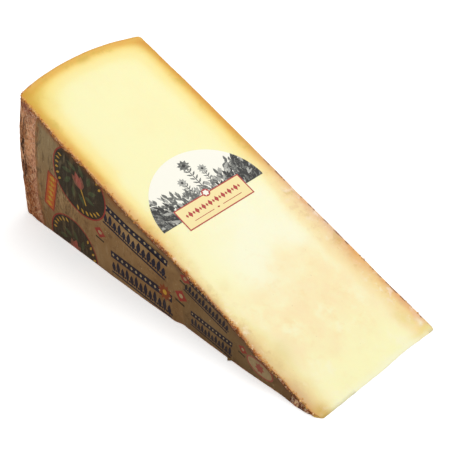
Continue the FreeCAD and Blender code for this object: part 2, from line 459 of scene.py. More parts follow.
def bumped(shader, height, distance, strength=1.0):
    """Roughen a surface by a height field that is distance millimetres high at 1."""
    node = add_node(shader.id_data, "ShaderNodeBump", Strength=strength, Distance=distance * MM,
                    Height=height)
    feed(node.outputs[0], shader.inputs["Normal"])


# where the cut edge of the rind is paler: distance from the wheel axis and reach either way
PALE_CRUST = ((216, 14), (190, 16), (98, 13), (42, 12), (22, 9))


def paste_material():
    material, tree, shader = new_material("pale_paste", 0.45, Subsurface_Weight=0.1,
                                          Subsurface_Scale=3 * MM, Specular_IOR_Level=0.25)
    shader.inputs["Subsurface Radius"].default_value = (1, 0.6, 0.25)
    place = object_place(tree)
    heel_depth, near_depth, far_depth = noted(tree, "depths")
    radius, _, _ = noted(tree, "wheel_place")

    # young paste: creamy, palest beyond the middle, with soft beige and white clouds to the tip
    broad = cloudy(place, 46, roughness=0.55)
    clouds = cloudy(place, 20, 5, salt=1)
    wisps = cloudy(place, 8, salt=2)
    drift = (broad - 0.5) * 110
    pale_zone = (radius + drift).step(185, 120) * (radius + drift).step(50, 110)
    pale_zone = pale_zone * near_depth.step(8, 44) * far_depth.step(5, 24)
    beige_zone = (radius + drift).step(118, 58) * (radius - drift).step(10, 56)
    tint = mixed(pale_zone, "fffac2", "fffddb")
    wispy = radius.step(130, 70) * (0.35 + radius.step(12, 50) * 0.65)
    tint = coated(tint, (
        (broad.step(0.46, 0.62) * radius.step(110, 170) * 0.22, "fff0b4"),
        (beige_zone * (0.45 + clouds.step(0.35, 0.67) * 0.55), "ffe8b6"),
        (clouds.step(0.50, 0.34) * radius.step(110, 60) * 0.7, "fffad2"),
        (wisps.step(0.50, 0.72) * wispy * 0.45, "fae0a6"),
    ))

    # old paste: ochre towards the heel, tan along the printed side and pinkish along the other
    # side near the tip, in soft uneven bands with darker blots
    wander = cloudy(place, 17, salt=5) - 0.5
    blots = cloudy(place, 8, 3, 0.55, 8)
    tipward = radius.step(200, 120)
    unevenness = wander * (8 + tipward * 12)
    thin_crust = radius.step(62, 84) * radius.step(152, 128)
    thin_rim = radius.step(164, 178) * radius.step(214, 200)
    aged = 1
    near_reach = 6.4 - thin_crust * 2.2 - thin_rim * 1.7
    far_reach = 6.6 - radius.bell(146, 17) * 1.7
    for depth, reach in ((heel_depth, 7.2), (near_depth, near_reach), (far_depth, far_reach)):
        moved = (depth + unevenness * (depth / (depth + 8))).most(0)
        aged = (1 - (-moved / reach).math("EXPONENT")) * aged
    aged = 1 - aged
    rim_side = ramp(aged, [(0, "fffac2"), (0.05, "fff6b7"), (0.11, "fff1ab"),
                           (0.20, "ffec9e"), (0.31, "fce18b"), (0.42, "f3d275"),
                           (0.56, "e8bd5b"), (0.74, "dfad4c"), (0.90, "d7a440"),
                           (1, "dca445")])
    near_tip = ramp(aged, [(0, "fff4c4"), (0.05, "fdf1be"), (0.12, "f9ecb0"),
                           (0.20, "f6e3a4"), (0.31, "f1da9a"), (0.42, "ebcf90"),
                           (0.56, "e2c184"), (0.70, "d9b076"), (0.85, "cf9a62"),
                           (1, "bd844c")])
    far_tip = ramp(aged, [(0, "fffad0"), (0.03, "fff4c6"), (0.08, "feecb8"),
                          (0.16, "fce6ae"), (0.26, "f9dfa8"), (0.38, "f6d8a4"),
                          (0.52, "f3d09e"), (0.66, "edc698"), (0.82, "e6c099"),
                          (1, "e4bd98")])
    tip_side = mixed((near_depth - far_depth).step(-20, 20), near_tip, far_tip)
    old = mixed(tipward, rim_side, tip_side)
    olive = aged.step(0.22, 0.5) * aged.step(0.95, 0.7) * wander.step(-0.02, -0.14)
    heel_corner = heel_depth.step(40, 4) * near_depth.least(far_depth + 10).step(24, 5)
    by_thin_rim = thin_rim * near_depth.step(9, 2)
    golden = heel_depth.step(11, 2).most(far_depth.step(11, 2) * 0.7) * (1 - tipward)
    heel_line = heel_depth.step(7, 2.5) * near_depth.step(3, 12)
    far_corner = far_depth.step(15, 4) * radius.step(66, 50)
    marks = aged.step(0.10, 0.30) * aged.step(0.9, 0.5) * tipward
    corner = radius.step(14, 3) * near_depth.step(15, 5)
    tint = coated(tint, (
        (aged.step(0, 0.12), old),
        (aged.step(0.30, 0.70) * wander.step(0.02, 0.16) * 0.5, "e09540"),
        (olive * 0.5, "cdb653"),
        (heel_corner * (0.75 - wander.step(-0.12, 0.12) * 0.4), "d2b03f"),
        (heel_depth.step(42, 10) * near_depth.step(38, 10), "fcf9df", "MULTIPLY"),
        (by_thin_rim * 0.5, "e9c189"),
        (golden * 0.85, "fff0cc", "MULTIPLY"),
        (heel_line * 0.45, "f2c866"),
        (far_corner, "fffde6", "MULTIPLY"),
        (blots.step(0.56, 0.66) * marks * 0.55, "dfc083"),
        (blots.step(0.42, 0.32) * marks * 0.6, "fff3d0"),
        (corner * 0.75, "d6ad52"),
        (radius.step(6, 1) * near_depth.step(8, 20) * 0.6, "fffbd2"),
    ))

    # uneven patches on the tip half: mottled tan, pink and cream along both sides, orange-brown
    # and yellow blots on the far side that run out towards the tip, and a whitish crumb there;
    # each blot has its radius, side and depth, its reach along and across, its share and colour
    mottles = cloudy(place, 6, salt=13)
    far_band = far_depth.step(16, 3) * radius.step(160, 130)
    wide_band = far_depth.step(24, 8) * radius.step(138, 116) * radius.step(84, 100)
    near_band = near_depth.step(15, 3) * radius.step(168, 140)
    tint = coated(tint, (
        (mottles.step(0.50, 0.32) * far_band.most(wide_band) * 0.45, "e2b988"),
        (mottles.step(0.52, 0.68) * far_band * radius.step(6, 16) * 0.75, "ffecd6"),
        (mottles.step(0.49, 0.33) * near_band * 0.5, "dfc58a"),
        (mottles.step(0.52, 0.66) * near_band * radius.step(20, 70) * 0.6, "ffefd2"),
    ))
    for at_radius, depth, at_depth, reach, deep, share, code in (
            (76, far_depth, 0.5, 7, 4.5, 0.75, "dd9a50"),
            (68, far_depth, 1, 11, 8, 0.7, "eeb661"),
            (3, far_depth, 2.5, 4, 4.5, 0.7, "f0e092"),
            (32, far_depth, 1, 7, 2.8, 0.65, "eeaa6a"),
            (15, far_depth, 2, 7, 3, 0.5, "fbc79c"),
            (17, far_depth, 11, 4.5, 4, 0.5, "ecd884"),
            (5, far_depth, 9, 3, 7, 0.55, "f2da7c"),
            (10, far_depth, 5, 3, 2.2, 0.6, "fffbe4"),
            (21, near_depth, 5, 10, 4, 0.55, "d8b283"),
            (46, near_depth, 14, 9, 6, 0.45, "e6cf8c"),
            (41, near_depth, 2.5, 11, 5, 0.55, "e9d393"),
            (106, near_depth, 17, 6, 4, 0.25, "ecd490")):
        blot = ((radius + wander * 22).bell(at_radius, reach)
                * (depth + wander * 12).bell(at_depth, deep))
        tint = mixed(blot * share, tint, code)

    # the cut edge of the rind: a thin ragged orange-brown line with paler crumbs, dark towards
    # the tip on the printed side and hardly there on the other
    skin_depth = heel_depth.least(near_depth).least(far_depth)
    fray = cloudy(place, 3.6, 5, 0.7, 7) - 0.5
    by_print = near_depth.step(20, 10)
    ragged = skin_depth + fray * (1.4 + by_print * 1.6)
    crust = ragged.step(1.5, 0.4) * (0.25 + by_print * 0.75)
    grains = cloudy(place, 2.6, roughness=0.65, salt=9)
    crust_tint = ramp(grains, [(0.34, "9a5622"), (0.44, "c98440"), (0.54, "dfa25a"),
                               (0.68, "f3cf98")])
    dark_tint = ramp(grains, [(0.36, "4a2412"), (0.46, "8e5228"), (0.55, "b9804a"),
                              (0.66, "edcb98")])
    crust_tint = mixed(radius.step(170, 140) * by_print * 0.6, crust_tint, dark_tint)
    for at_radius, reach in PALE_CRUST:
        crust_tint = mixed(radius.bell(at_radius, reach) * 0.6, crust_tint, "e2ac68")
    breaks = cloudy(place, 6, 3, salt=14).step(0.49, 0.56) * radius.step(185, 150)
    hem = (far_depth + fray * 2).step(1.5, 0.6) * breaks * radius.step(1, 6)
    speck = cloudy(place, 1.1, 2, 0.5, 12).step(0.755, 0.79)
    tint = coated(tint, (
        (crust, crust_tint),
        (hem * 0.85, "875433"),
        (speck * radius.step(215, 120) * 0.8, "8f6a3c"),
    ))
    feed(tint, shader.inputs["Base Color"])
    skim = cloudy(place, 1.8, salt=11) * 0.5 + clouds
    bumped(shader, skim, 0.25, 0.5)
    return material


def rind_material():
    material, tree, shader = new_material("brown_rind", 0.85, Specular_IOR_Level=0.1)
    place = object_place(tree)
    _, across, height = [number / MM for number in split(place)]
    radius, turned, relief = noted(tree, "wheel_place")
    heel_depth, near_depth, _ = noted(tree, "depths")

    # strands and crumbs drawn out a little the way the wheel was rubbed, round its axis
    arc = radius * turned * (WEDGE_ANGLE * 0.5)
    rubbed = spot(radius, across, arc)
    broad = cloudy(place, 24)
    patch = cloudy(rubbed, 6, salt=2)
    strands = cloudy(rubbed, 1.7, roughness=0.62, salt=3)
    fine = cloudy(place, 1.1, 3, salt=4)
    tint = ramp(broad, [(0.30, "d08a52"), (0.5, "e8a571"), (0.68, "f0ba92")])
    high_band = height.step(45, 80) * near_depth.step(6, 1)
    rosy = height.step(35, 100) * patch.step(0.50, 0.62)
    by_paper = radius.step(PAPER_REACH + 11, PAPER_REACH) * near_depth.step(6, 1)
    dry = 0.3 + near_depth.step(6, 1) * 0.7
    floury = dry * (0.7 + height.step(20, 80) * 0.3)
    pocks = cloudy(place, 3.2, roughness=0.65, salt=7)
    half_way = height.step(16, 40) * height.step(108, 86)
    # painted shade inside the rounded rim: a band on the printed face, strongest half way up, gets
    # darker patches and near-black pits
    by_rim = (heel_depth.step(13, 6) * heel_depth.step(0.8, 2.8) * near_depth.step(5, 1)
              * (0.25 + half_way * 0.75))
    along_rim = spot(radius, across, arc * 0.45)
    holes = cloudy(along_rim, 2.4, roughness=0.65, salt=6).step(0.46, 0.41)
    # painted highlight: the rounded edge where the heel meets the printed face is lightened in
    # patches
    rim_edge_highlight = heel_depth.step(2.6, 0.8) * near_depth.step(4.5, 1) * patch.step(0.40, 0.58)
    by_tip = radius.step(34, 20) * near_depth.step(60, 20)
    to_cut = radius * (1 - turned) * WEDGE_ANGLE
    fresh = to_cut.step(5, 1)
    below_cut = to_cut.step(26, 8) * near_depth.step(6, 1)
    bruise = radius.bell(292.5, 5) * turned.bell(0.955, 0.028) * near_depth.step(6, 1)
    bare_paste = mixed(near_depth.step(30, 60), "e0b75c", "efe3b4")
    tint = coated(tint, (
        (height.step(95, 15) * 0.9, "a35a2a"),
        (patch.step(0.50, 0.38) * (0.4 - high_band * 0.16), "8f4e28"),
        (rosy * 0.6, "c9836c"),
        (by_paper * 0.6, "c78d72"),
        (strands.step(0.50, 0.36) * (0.5 + dry * 0.35 - high_band * 0.15), "64331a"),
        (strands.step(0.52, 0.62) * floury * 0.85, "f0c598"),
        (fine.step(0.56, 0.67) * floury * 0.65, "fbe2c4"),
        (high_band * 0.2, "ffaa72"),
        (pocks.step(0.44, 0.36) * high_band * 0.6, "5c321e"),
        (pocks.step(0.53, 0.62) * high_band * 0.4, "ffd2aa"),
        # painted shade in the band inside the rim and in its pits
        (by_rim * patch.step(0.54, 0.44) * 0.6, "6a3a1e"),
        (holes * by_rim * 0.95, "321a0d"),
        (rim_edge_highlight * 0.45, "dcb692"),
        (by_tip * patch.step(0.56, 0.42) * 0.85, "24140b"),
        (by_tip * strands.step(0.52, 0.60) * 0.8, "e8c490"),
        (fresh * strands.step(0.62, 0.50) * 0.7, "ab5f26"),
        (patch.step(0.50, 0.42) * below_cut * 0.45, "6e2c20"),
        (fine.step(0.53, 0.62) * below_cut * 0.55, "f8dcc0"),
        (bruise * 0.8, "812e28"),
        ((radius + (patch - 0.5) * 6).step(7, 4.5), bare_paste),
        # painted shade: where the rind's relief sinks into pits and cracks it is darkened
        (relief.step(-0.40, -1) * 0.85, "4a2410"),
    ))
    feed(tint, shader.inputs["Base Color"])
    grit = strands * 1.6 + fine * 0.6 - holes * by_rim
    bumped(shader, grit, 0.8)
    return material


cheese = grown("cheese_paste_and_rind", wedge_tree(), {
    "Heel Reach": HEEL_REACH,
    "Heel Bulge": HEEL_BULGE,
    "Height": high.y - low.y,
    "Wedge Angle": WEDGE_ANGLE,
    "Near Rim Rounding": 3.0,
    "Far Rim Rounding": 2.0,
    "Near Tip Rounding": 5.0,
    "Far Tip Rounding": 1.5,
    "Rind Relief": 1.0,
    "Cut Relief": 0.25,
    "Seed": 4.0,
    "Paste": paste_material(),
    "Rind": rind_material(),
})
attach(cheese, "root")
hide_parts("cheese_wedge")


# ---- The crumbs on the crust ---------------------------------------------------------------
# Where the knife went through the dry rind, its grains stand loose along the upper cut: tan,
# orange-brown and cream crumbs, none more than two millimetres across, stuck to the edge.

def crumb_tree():
    """Scatter small uneven grains along the cut edge of the rind."""
    tree, given = geometry_tree("crust_crumbs", Geometry=["Geometry"],
                                Float=["Smallest", "Largest", "Density"], Int=["Seed"],
                                Material=["Crumb"])
    (heel_depth, near_depth, far_depth), (radius, turned, _) = [
        split(add_node(tree, "GeometryNodeInputNamedAttribute", {"data_type": "FLOAT_VECTOR"},
                       Name=name).outputs[0]) for name in ("depths", "wheel_place")]
    to_upper_cut = (1 - turned) * radius * WEDGE_ANGLE
    place = tree.nodes.new("GeometryNodeInputPosition").outputs[0]
    patchy = cloudy(place, 11, 3).step(0.40, 0.60) * 0.9 + 0.1
    elsewhere = (heel_depth.step(1.6, 0.4) * near_depth.step(26, 4) * 0.3
                 + far_depth.step(1.2, 0.2) * radius.step(150, 90) * 0.12)
    off_tip = radius.step(6, 12)
    at_cut = to_upper_cut.step(3.4, 0.4)
    thickness = (near_depth.step(2.4, 0.6) + elsewhere) * off_tip * at_cut * patchy
    scattered = add_node(tree, "GeometryNodeDistributePointsOnFaces", Mesh=given["Geometry"],
                         Density=thickness * given["Density"], Seed=given["Seed"])
    grain = add_node(tree, "GeometryNodeMeshIcoSphere", Radius=0.5, Subdivisions=1)
    sizes = add_node(tree, "FunctionNodeRandomValue", {"data_type": "FLOAT_VECTOR"},
                     Min=(0.55, 0.55, 0.45), Max=(1, 1, 0.9))
    feed(given["Seed"], sizes.inputs["Seed"])
    overall = add_node(tree, "FunctionNodeRandomValue")
    feed(given["Smallest"], overall.inputs[2])
    feed(given["Largest"], overall.inputs[3])
    scaled = add_node(tree, "ShaderNodeVectorMath", {"operation": "SCALE"},
                      Vector=sizes.outputs[0], Scale=overall.outputs[1])
    turns = add_node(tree, "FunctionNodeRandomValue", {"data_type": "FLOAT_VECTOR"},
                     Max=(math.tau, math.tau, math.tau))
    placed = add_node(tree, "GeometryNodeInstanceOnPoints", Points=scattered.outputs[0],
                      Instance=grain.outputs[0], Rotation=turns.outputs[0], Scale=scaled.outputs[0])
    real = add_node(tree, "GeometryNodeRealizeInstances", Geometry=placed.outputs[0])
    coloured = add_node(tree, "GeometryNodeSetMaterial", Geometry=real.outputs[0],
                        Material=given["Crumb"])
    feed(coloured.outputs[0], tree.nodes.new("NodeGroupOutput").inputs[0])
    return tree


def crumb_material():
    material, tree, shader = new_material("rind_crumb", 0.8, Specular_IOR_Level=0.2)
    place = object_place(tree)
    x, y, z = [number / MM for number in split(place)]
    to_axis = AXIS_X - x
    rise = -to_axis * math.sin(WEDGE_ANGLE) + z * math.cos(WEDGE_ANGLE)
    tone = cloudy(place, 4.5, roughness=0.7)
    # crumbs at the level of the cut take lit tones and crumbs further down take darker ones:
    # painted shade on the lower crumbs
    lit = ramp(tone, [(0.34, "bd702c"), (0.44, "dd9a4a"), (0.54, "f1bc6c"), (0.66, "fbe0ac")])
    shaded_lower = ramp(tone, [(0.36, "703714"), (0.45, "b36624"), (0.54, "d59447"),
                           (0.66, "f6d3a0")])
    tint = mixed(rise.step(0.2, -1.6), lit, shaded_lower)
    hue = cloudy(place, 5, 2, 0.5, 2)
    tint = coated(tint, (
        (hue.step(0.54, 0.64) * 0.5, "b9481f"),
        (hue.step(0.46, 0.36) * x.step(-70, -20) * 0.5, "94863c"),
    ))
    radius = to_axis / math.cos(WEDGE_ANGLE)
    for at_radius, reach in PALE_CRUST:
        tint = mixed(radius.bell(at_radius, reach) * 0.5, tint, "e9b672")
    darker = cloudy(place, 6, 3, salt=1).step(0.45, 0.53)
    low_dark = darker * rise.step(0.8, -0.6)
    blackened = cloudy(place, 4, 3, salt=3).step(0.44, 0.52)
    low_near = rise.step(0.2, -0.9) * (y - MIDDLE_Y).step(0, -20)
    tint = coated(tint, (
        (low_dark * x.step(-10, 30) * 0.6, "5e3317"),
        (blackened * low_near * x.step(104, 124) * 0.85, "26160c"),
    ))
    feed(tint, shader.inputs["Base Color"])
    return material


crumbs = grown("crust_crumbs", crumb_tree(), {
    "Smallest": 0.45 * MM,
    "Largest": 1.9 * MM,
    "Density": 1.15e6,        # grains to a square metre of rind
    "Seed": 8,
    "Crumb": crumb_material(),
}, base=cheese.data.copy())
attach(crumbs, "root")
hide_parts("cheese_wedge")


# ---- The printed rind paper ----------------------------------------------------------------
# The maker's thin wrapping paper, pasted on the wheel's flat face before it was cut and now
# greasy, streaked and brown. It stops short of the heel and of the wheel axis. Its generic
# print is navy borders, red lozenges, two rosettes, two dark roundels and an orange strip.

def turned_by(points, angle, shift=(0.0, 0.0)):
    """Turn points by an angle about the origin, then move them."""
    near, far = math.cos(angle), math.sin(angle)
    return [(x * near - y * far + shift[0], x * far + y * near + shift[1]) for x, y in points]


def block(width, height, at=(0.0, 0.0)):
    """A rectangle about a point."""
    x, y = at
    return [(x - width / 2, y - height / 2), (x + width / 2, y - height / 2),
            (x + width / 2, y + height / 2), (x - width / 2, y + height / 2)]


def oval(width, height, at=(0.0, 0.0), count=32):
    """An ellipse about a point, or a lozenge with a count of 4."""
    return [(at[0] + width / 2 * math.cos(math.tau * step / count),
             at[1] + height / 2 * math.sin(math.tau * step / count)) for step in range(count)]


def leaf(length, width, angle=0.0, at=(0.0, 0.0), fullness=0.45):
    """A pointed leaf from a point outwards, widest at a share of its length."""
    edge = [(0.0, 0.0), (0.2, 0.62), (fullness, 1.0), (0.75, 0.66), (1.0, 0.0), (0.75, -0.66),
            (fullness, -1.0), (0.2, -0.62)]
    points = [(length * along, width / 2 * aside) for along, aside in edge]
    return turned_by(points, angle, at)


def rosette(petals, reach, at=(0.0, 0.0), turn=0.0):
    """A ring of petals about a point."""
    width = reach * math.tau / petals * 0.62
    return [leaf(reach, width, turn + math.tau * step / petals, at, 0.62) for step in range(petals)]


def printed_sheet(name, shapes, inks, lay, spacing, thickness):
    """Cut a flat sheet along all that is printed on it, lay it on the cheese and thicken it.

    shapes lists (ink, points in millimetres) with the sheet's own outline first. Each piece of
    the sheet gets the ink of the last shape that covers it. lay takes a point of the flat sheet
    and returns its place on the cheese and the way outwards.
    """
    points = []
    rings = []
    for _, outline in shapes:
        ring = list(range(len(points), len(points) + len(outline)))
        ahead = outline[1:] + outline[:1]
        area = sum(a[0] * b[1] - b[0] * a[1] for a, b in zip(outline, ahead))
        rings.append(ring if area > 0 else ring[::-1])
        points.extend(Vector(point) for point in outline)
    across = [point.x for point in points[:len(shapes[0][1])]]
    along = [point.y for point in points[:len(shapes[0][1])]]
    columns = int((max(across) - min(across)) / spacing)
    rows = int((max(along) - min(along)) / spacing)
    for column in range(columns):
        for row in range(rows):
            points.append(Vector((min(across) + (column + 0.5 + 0.25 * (row % 2)) * spacing,
                                  min(along) + (row + 0.5) * spacing)))
    flat, _, triangles, _, _, sources = delaunay_2d_cdt(points, [], rings, 0, 1e-5)
    kept = [(corners, max(source)) for corners, source in zip(triangles, sources) if 0 in source]
    used = sorted({corner for corners, _ in kept for corner in corners})
    place_of = {corner: place for place, corner in enumerate(used)}

    gap = 0.05         # between the cheese and the sheet
    under = []
    upper = []
    for corner in used:
        place, outwards = lay(flat[corner])
        under.append(place + outwards * (gap * MM))
        upper.append(place + outwards * ((gap + thickness) * MM))
    shift = len(used)
    top = [[place_of[corner] for corner in corners] for corners, _ in kept]
    bottom = [[corner + shift for corner in reversed(corners)] for corners in top]
    sides = {(a, b) for corners in top for a, b in zip(corners, corners[1:] + corners[:1])}
    border = [(b, a, a + shift, b + shift) for a, b in sorted(sides) if (b, a) not in sides]

    mesh = bpy.data.meshes.new(name)
    mesh.from_pydata(upper + under, [], top + bottom + border)
    names = list(inks)
    for material in inks.values():
        mesh.materials.append(material)
    for face, (_, source) in zip(mesh.polygons, kept):
        face.material_index = names.index(shapes[source][0])
    mesh.shade_smooth()
    mesh.set_sharp_from_angle(angle=math.radians(60))
    return new_object(name, mesh)


def resting_place(start, inwards, ways):
    """Where a sheet rests on the cheese below start: a mean of hits, so that it bridges pits."""
    hits = []
    for way in [Vector((0, 0, 0))] + ways:
        hit = cheese_surface.ray_cast(start + way, inwards)[3]
        if hit is not None:
            hits.append(hit)
    return start + inwards * (sum(hits) / len(hits))


graph = bpy.context.evaluated_depsgraph_get()
cheese_surface = BVHTree.FromObject(cheese, graph)


def paper_ink(name, code, worn):
    """Ink that shares the sheet's creases, stains and specks, or bare paper where worn is 1."""
    material, tree, shader = new_material(name, 0.65, Specular_IOR_Level=0.06)
    place = object_place(tree)
    x, _, z = [number / MM for number in split(place)]
    to_axis = AXIS_X - x
    radius = (to_axis * to_axis + z * z).math("SQRT")
    turn = z.math("ARCTAN2", to_axis)
    arc = turn * radius
    near_rim = radius.step(195, 262)

    # creases run round the wheel and are deepest by the rim; stains, mottle and specks do not
    # the creases and wrinkles are painted: their dark lines are painted shade and their pale ridges
    # painted highlight
    drawn_out = spot(radius, 0, arc * 0.2)
    folds = cloudy(drawn_out, 3.6, 3, 0.55)
    crease = (folds - 0.5).math("ABSOLUTE").step(0.030, 0)
    stains = cloudy(place, 30, salt=1)
    mottle = cloudy(place, 6, 5, 0.7, 2)
    fleck = cloudy(place, 2, roughness=0.65, salt=3)
    wrinkle = cloudy(spot(radius, 0, arc * 0.15), 4.5, 3, salt=6)
    wear_and_shade = 0.3 + 0.7 * worn
    tint = ramp(stains, [(0.30, "85633d"), (0.50, "9a774d"), (0.70, "aa885d")])
    tint = mixed(z.step(35, 95) * near_rim * 0.7, tint, "a18c66")
    if worn < 1:
        tint = mixed(worn, code, tint)
    creased = near_rim * stains.step(0.40, 0.56)
    rubbed_off = (radius + (mottle - 0.5) * 14).step(PAPER_REACH - 6, PAPER_REACH)
    dimmed = to_axis.step(150, 70) * (0.4 + to_axis.step(30, 60) * 0.6)
    to_cut = radius * (WEDGE_ANGLE - turn)
    soaked = to_cut.step(8.5, 1.5) * (0.75 * wear_and_shade)
    tint = coated(tint, (
        # painted highlight on the crease ridges, then painted shade in the crease lines
        (folds.step(0.56, 0.70) * (creased * 0.4 + 0.15) * wear_and_shade, "c9b38c"),
        (crease * (creased * 0.6 + 0.06) * wear_and_shade, "3a2713"),
        # painted shade and painted highlight on the wider wrinkles by the rim
        (wrinkle.step(0.56, 0.64) * near_rim * (0.45 * wear_and_shade), "4e3a24"),
        (wrinkle.step(0.45, 0.37) * near_rim * (0.5 * wear_and_shade), "b39768"),
        (rubbed_off * (0.7 * wear_and_shade), "a5683c"),
        (mottle.step(0.47, 0.34) * (0.40 * wear_and_shade), "472e17"),
        (z.step(50, 0) * (0.22 * wear_and_shade), "6a4526"),
        (dimmed * (0.24 * wear_and_shade), "3d2f1c"),
        (to_axis.step(120.4, 119.6) * (0.22 * wear_and_shade), "33301c"),
        (soaked, mixed(radius.step(200, 170), "8c5329", "6f5036")),
        (fleck.step(0.62, 0.72) * (0.7 * wear_and_shade), "d9bf94"),
        (fleck.step(0.36, 0.27) * (0.8 * wear_and_shade), "201308"),
    ))
    feed(tint, shader.inputs["Base Color"])
    crumple = folds * (near_rim + 0.5) - crease * creased * 0.5 + mottle * 0.7
    bumped(shader, crumple, 1.0, 0.9)
    return material


def at_wheel(points, radius, degrees, turn=0.0):
    """Put a flat shape on the wheel's face, its own right towards the wheel axis."""
    angle = math.radians(degrees)
    centre = (-radius * math.cos(angle), radius * math.sin(angle))
    return turned_by(turned_by(points, turn), -angle, centre)


SCRAP_AT = 76.0     # wheel axis to a scrap of the sheet that hangs at its foot


def rind_paper_shapes():
    """All that is printed on the rind paper, from the sheet itself upwards."""
    draw = random.Random(12)
    edge = 0.8                                 # from each cut to the sheet

    def frayed(steps, reach):
        """Numbers from 0 to reach that wander, with a small jitter, for a torn edge."""
        knots = [draw.random() for _ in range(steps // 4 + 2)]
        worn = []
        for step in range(steps):
            knot, share = divmod(step / 4, 1.0)
            level = knots[int(knot)] * (1 - share) + knots[int(knot) + 1] * share
            worn.append(reach * min(1.0, 0.75 * level * level + 0.35 * draw.random()))
        return worn

    # round the sheet as (radius, turn): up the rim, down the upper cut and round the tip; then
    # along the foot, with closer points where the scrap hangs
    cut_steps = 168
    stride = 1.5
    rim_arc = [(PAPER_REACH - worn, WEDGE_ANGLE * (0.004 + 0.98 * step / 60))
               for step, worn in enumerate(frayed(61, 2.2))]
    upper_edge = [(radius, WEDGE_ANGLE - math.asin((edge + worn) / radius)) for radius, worn in
                  zip([PAPER_REACH - 3 - stride * step for step in range(cut_steps)],
                      frayed(cut_steps, 3.4))]
    tip_arc = [(BARE_TIP + worn, WEDGE_ANGLE * (0.84 - 0.72 * step / 8))
               for step, worn in enumerate(frayed(9, 2.5))]
    ends = [(-radius * math.cos(turn), max(edge, radius * math.sin(turn)))
            for radius, turn in rim_arc + upper_edge + tip_arc]
    flap = [SCRAP_AT + step for step in (-2.4, -1.6, -0.8, 0.0, 0.8, 1.6)]
    foot_line = [radius for radius in (BARE_TIP + 3 + stride * step for step in range(cut_steps))
                 if radius < PAPER_REACH - 2 and abs(radius - SCRAP_AT) > 2.8]
    ends += [(-radius, edge if radius in flap else edge + 0.5 * draw.random())
             for radius in sorted(foot_line + flap)]
    ends.reverse()
    shapes = [("paper", ends)]

    def stamp(at, ink, *outlines):
        """Print outlines in one ink. at is a radius, an angle in degrees and perhaps a turn."""
        shapes.extend((ink, at_wheel(outline, *at)) for outline in outlines)

    # navy borders: a bar with pale lozenges over a row of upright leaves, on two circles
    for radius, degrees, scale, count in ((172, 15.2, 1.0, 13), (163, 3.6, 1.0, 13),
                                          (102, 17.6, 0.66, 13), (94, 5.6, 0.66, 12)):
        at = (radius, degrees)
        pitch = 4.9 * scale
        length = pitch * count
        stamp(at, "navy", block(length, 6.0 * scale, (0, 9.6 * scale)))
        for step in range(count):
            middle = (step + 0.5 - count / 2) * pitch
            tall = 11.5 if step % 2 else 9.0
            stamp(at, "faded_cream", oval(2.6 * scale, 2.8 * scale, (middle, 9.6 * scale), 4))
            stamp(at, "navy",
                  leaf(tall * scale, 4.0 * scale, math.pi / 2, (middle, -5.6 * scale), 0.5),
                  oval(2.2 * scale, 2.2 * scale, (middle + pitch / 2, -3.6 * scale), 8))
        stamp(at, "navy", block(length, 1.5 * scale, (0, -6.6 * scale)))

    # small red lozenges with a pale eye and a dark foot, beside the borders
    for radius, degrees, scale in ((207, 9.3, 1.0), (124, 11.6, 1.0), (124, 19.6, 0.8),
                                   (66, 13.6, 0.7)):
        at = (radius, degrees)
        stamp(at, "red", oval(12 * scale, 10 * scale, (0, 1.0), 4))
        stamp(at, "faded_cream", oval(4 * scale, 3.4 * scale, (0, 1.0), 8))
        stamp(at, "dark", block(9 * scale, 1.6 * scale, (0, -5.2 * scale)))

    # a rosette in rust and gold, and a small pink one in a frame near the wheel axis
    at = (139, 8.2)
    stamp(at, "rust", *rosette(10, 7.0))
    stamp(at, "gold", oval(4, 4))
    at = (50, 12.5)
    stamp(at, "pink", oval(24, 13, (0, 0), 20))
    stamp(at, "faded_cream", oval(21.5, 10.5, (0, 0), 20))
    stamp(at, "pink", *rosette(7, 4.2))

    # two dark roundels with a red rim, a ring of gold grains and a tulip
    for at in ((230, 17.2, 0.5), (240, 0.2, -0.4)):
        unturned = at[:2]
        stamp(unturned, "red", oval(57, 57, (0, 0), 48))
        stamp(unturned, "dark", oval(54.6, 54.6, (0, 0), 48))
        for step in range(30):
            angle = math.tau * step / 30
            grain = leaf(4.6, 2.1, angle + 0.5, (22 * math.cos(angle), 22 * math.sin(angle)))
            if step % 10 < 6:
                stamp(at, "gold", grain)
        for step in range(9):
            angle = math.tau * step / 9
            stem = (9.5 * math.cos(angle), 9.5 * math.sin(angle))
            stamp(at, "green", leaf(11, 4.2, angle + 0.9, stem))
        for lean, tall in ((-0.42, 13), (0.42, 13), (0.0, 15)):
            bloom = leaf(tall, 6.5, math.pi / 2 + lean, (0, -5))
            stamp(at, "dusty_pink" if lean else "pink", bloom)
        stamp(at, "gold", block(1.3, 13, (0, -11)))

    # an orange strip with gold lozenges, slanted by the upper roundel
    at = (262, 9.4, 1.35)
    stamp(at, "red", block(38, 11.5))
    stamp(at, "orange", block(35.6, 9.3))
    stamp(at, "gold", *(oval(4.6, 6.6, ((step - 2.5) * 5.8, 0), 4) for step in range(6)))
    return shapes


def lay_on_rind(point):
    outwards = Vector((0, -1, 0))
    start = Vector((AXIS_X + point[0], low.y - 30, point[1])) * MM
    ways = [Vector((step, 0, 0)) * MM for step in (-0.9, 0.9)]
    ways += [Vector((0, 0, step)) * MM for step in (0.5, 1.2)]
    scrap = math.exp(-((point[0] + SCRAP_AT) / 1.3) ** 2) * max(0.0, 1.0 - point[1] / 7.0) ** 2
    return resting_place(start, -outwards, ways) + outwards * (scrap * 2.6 * MM), outwards


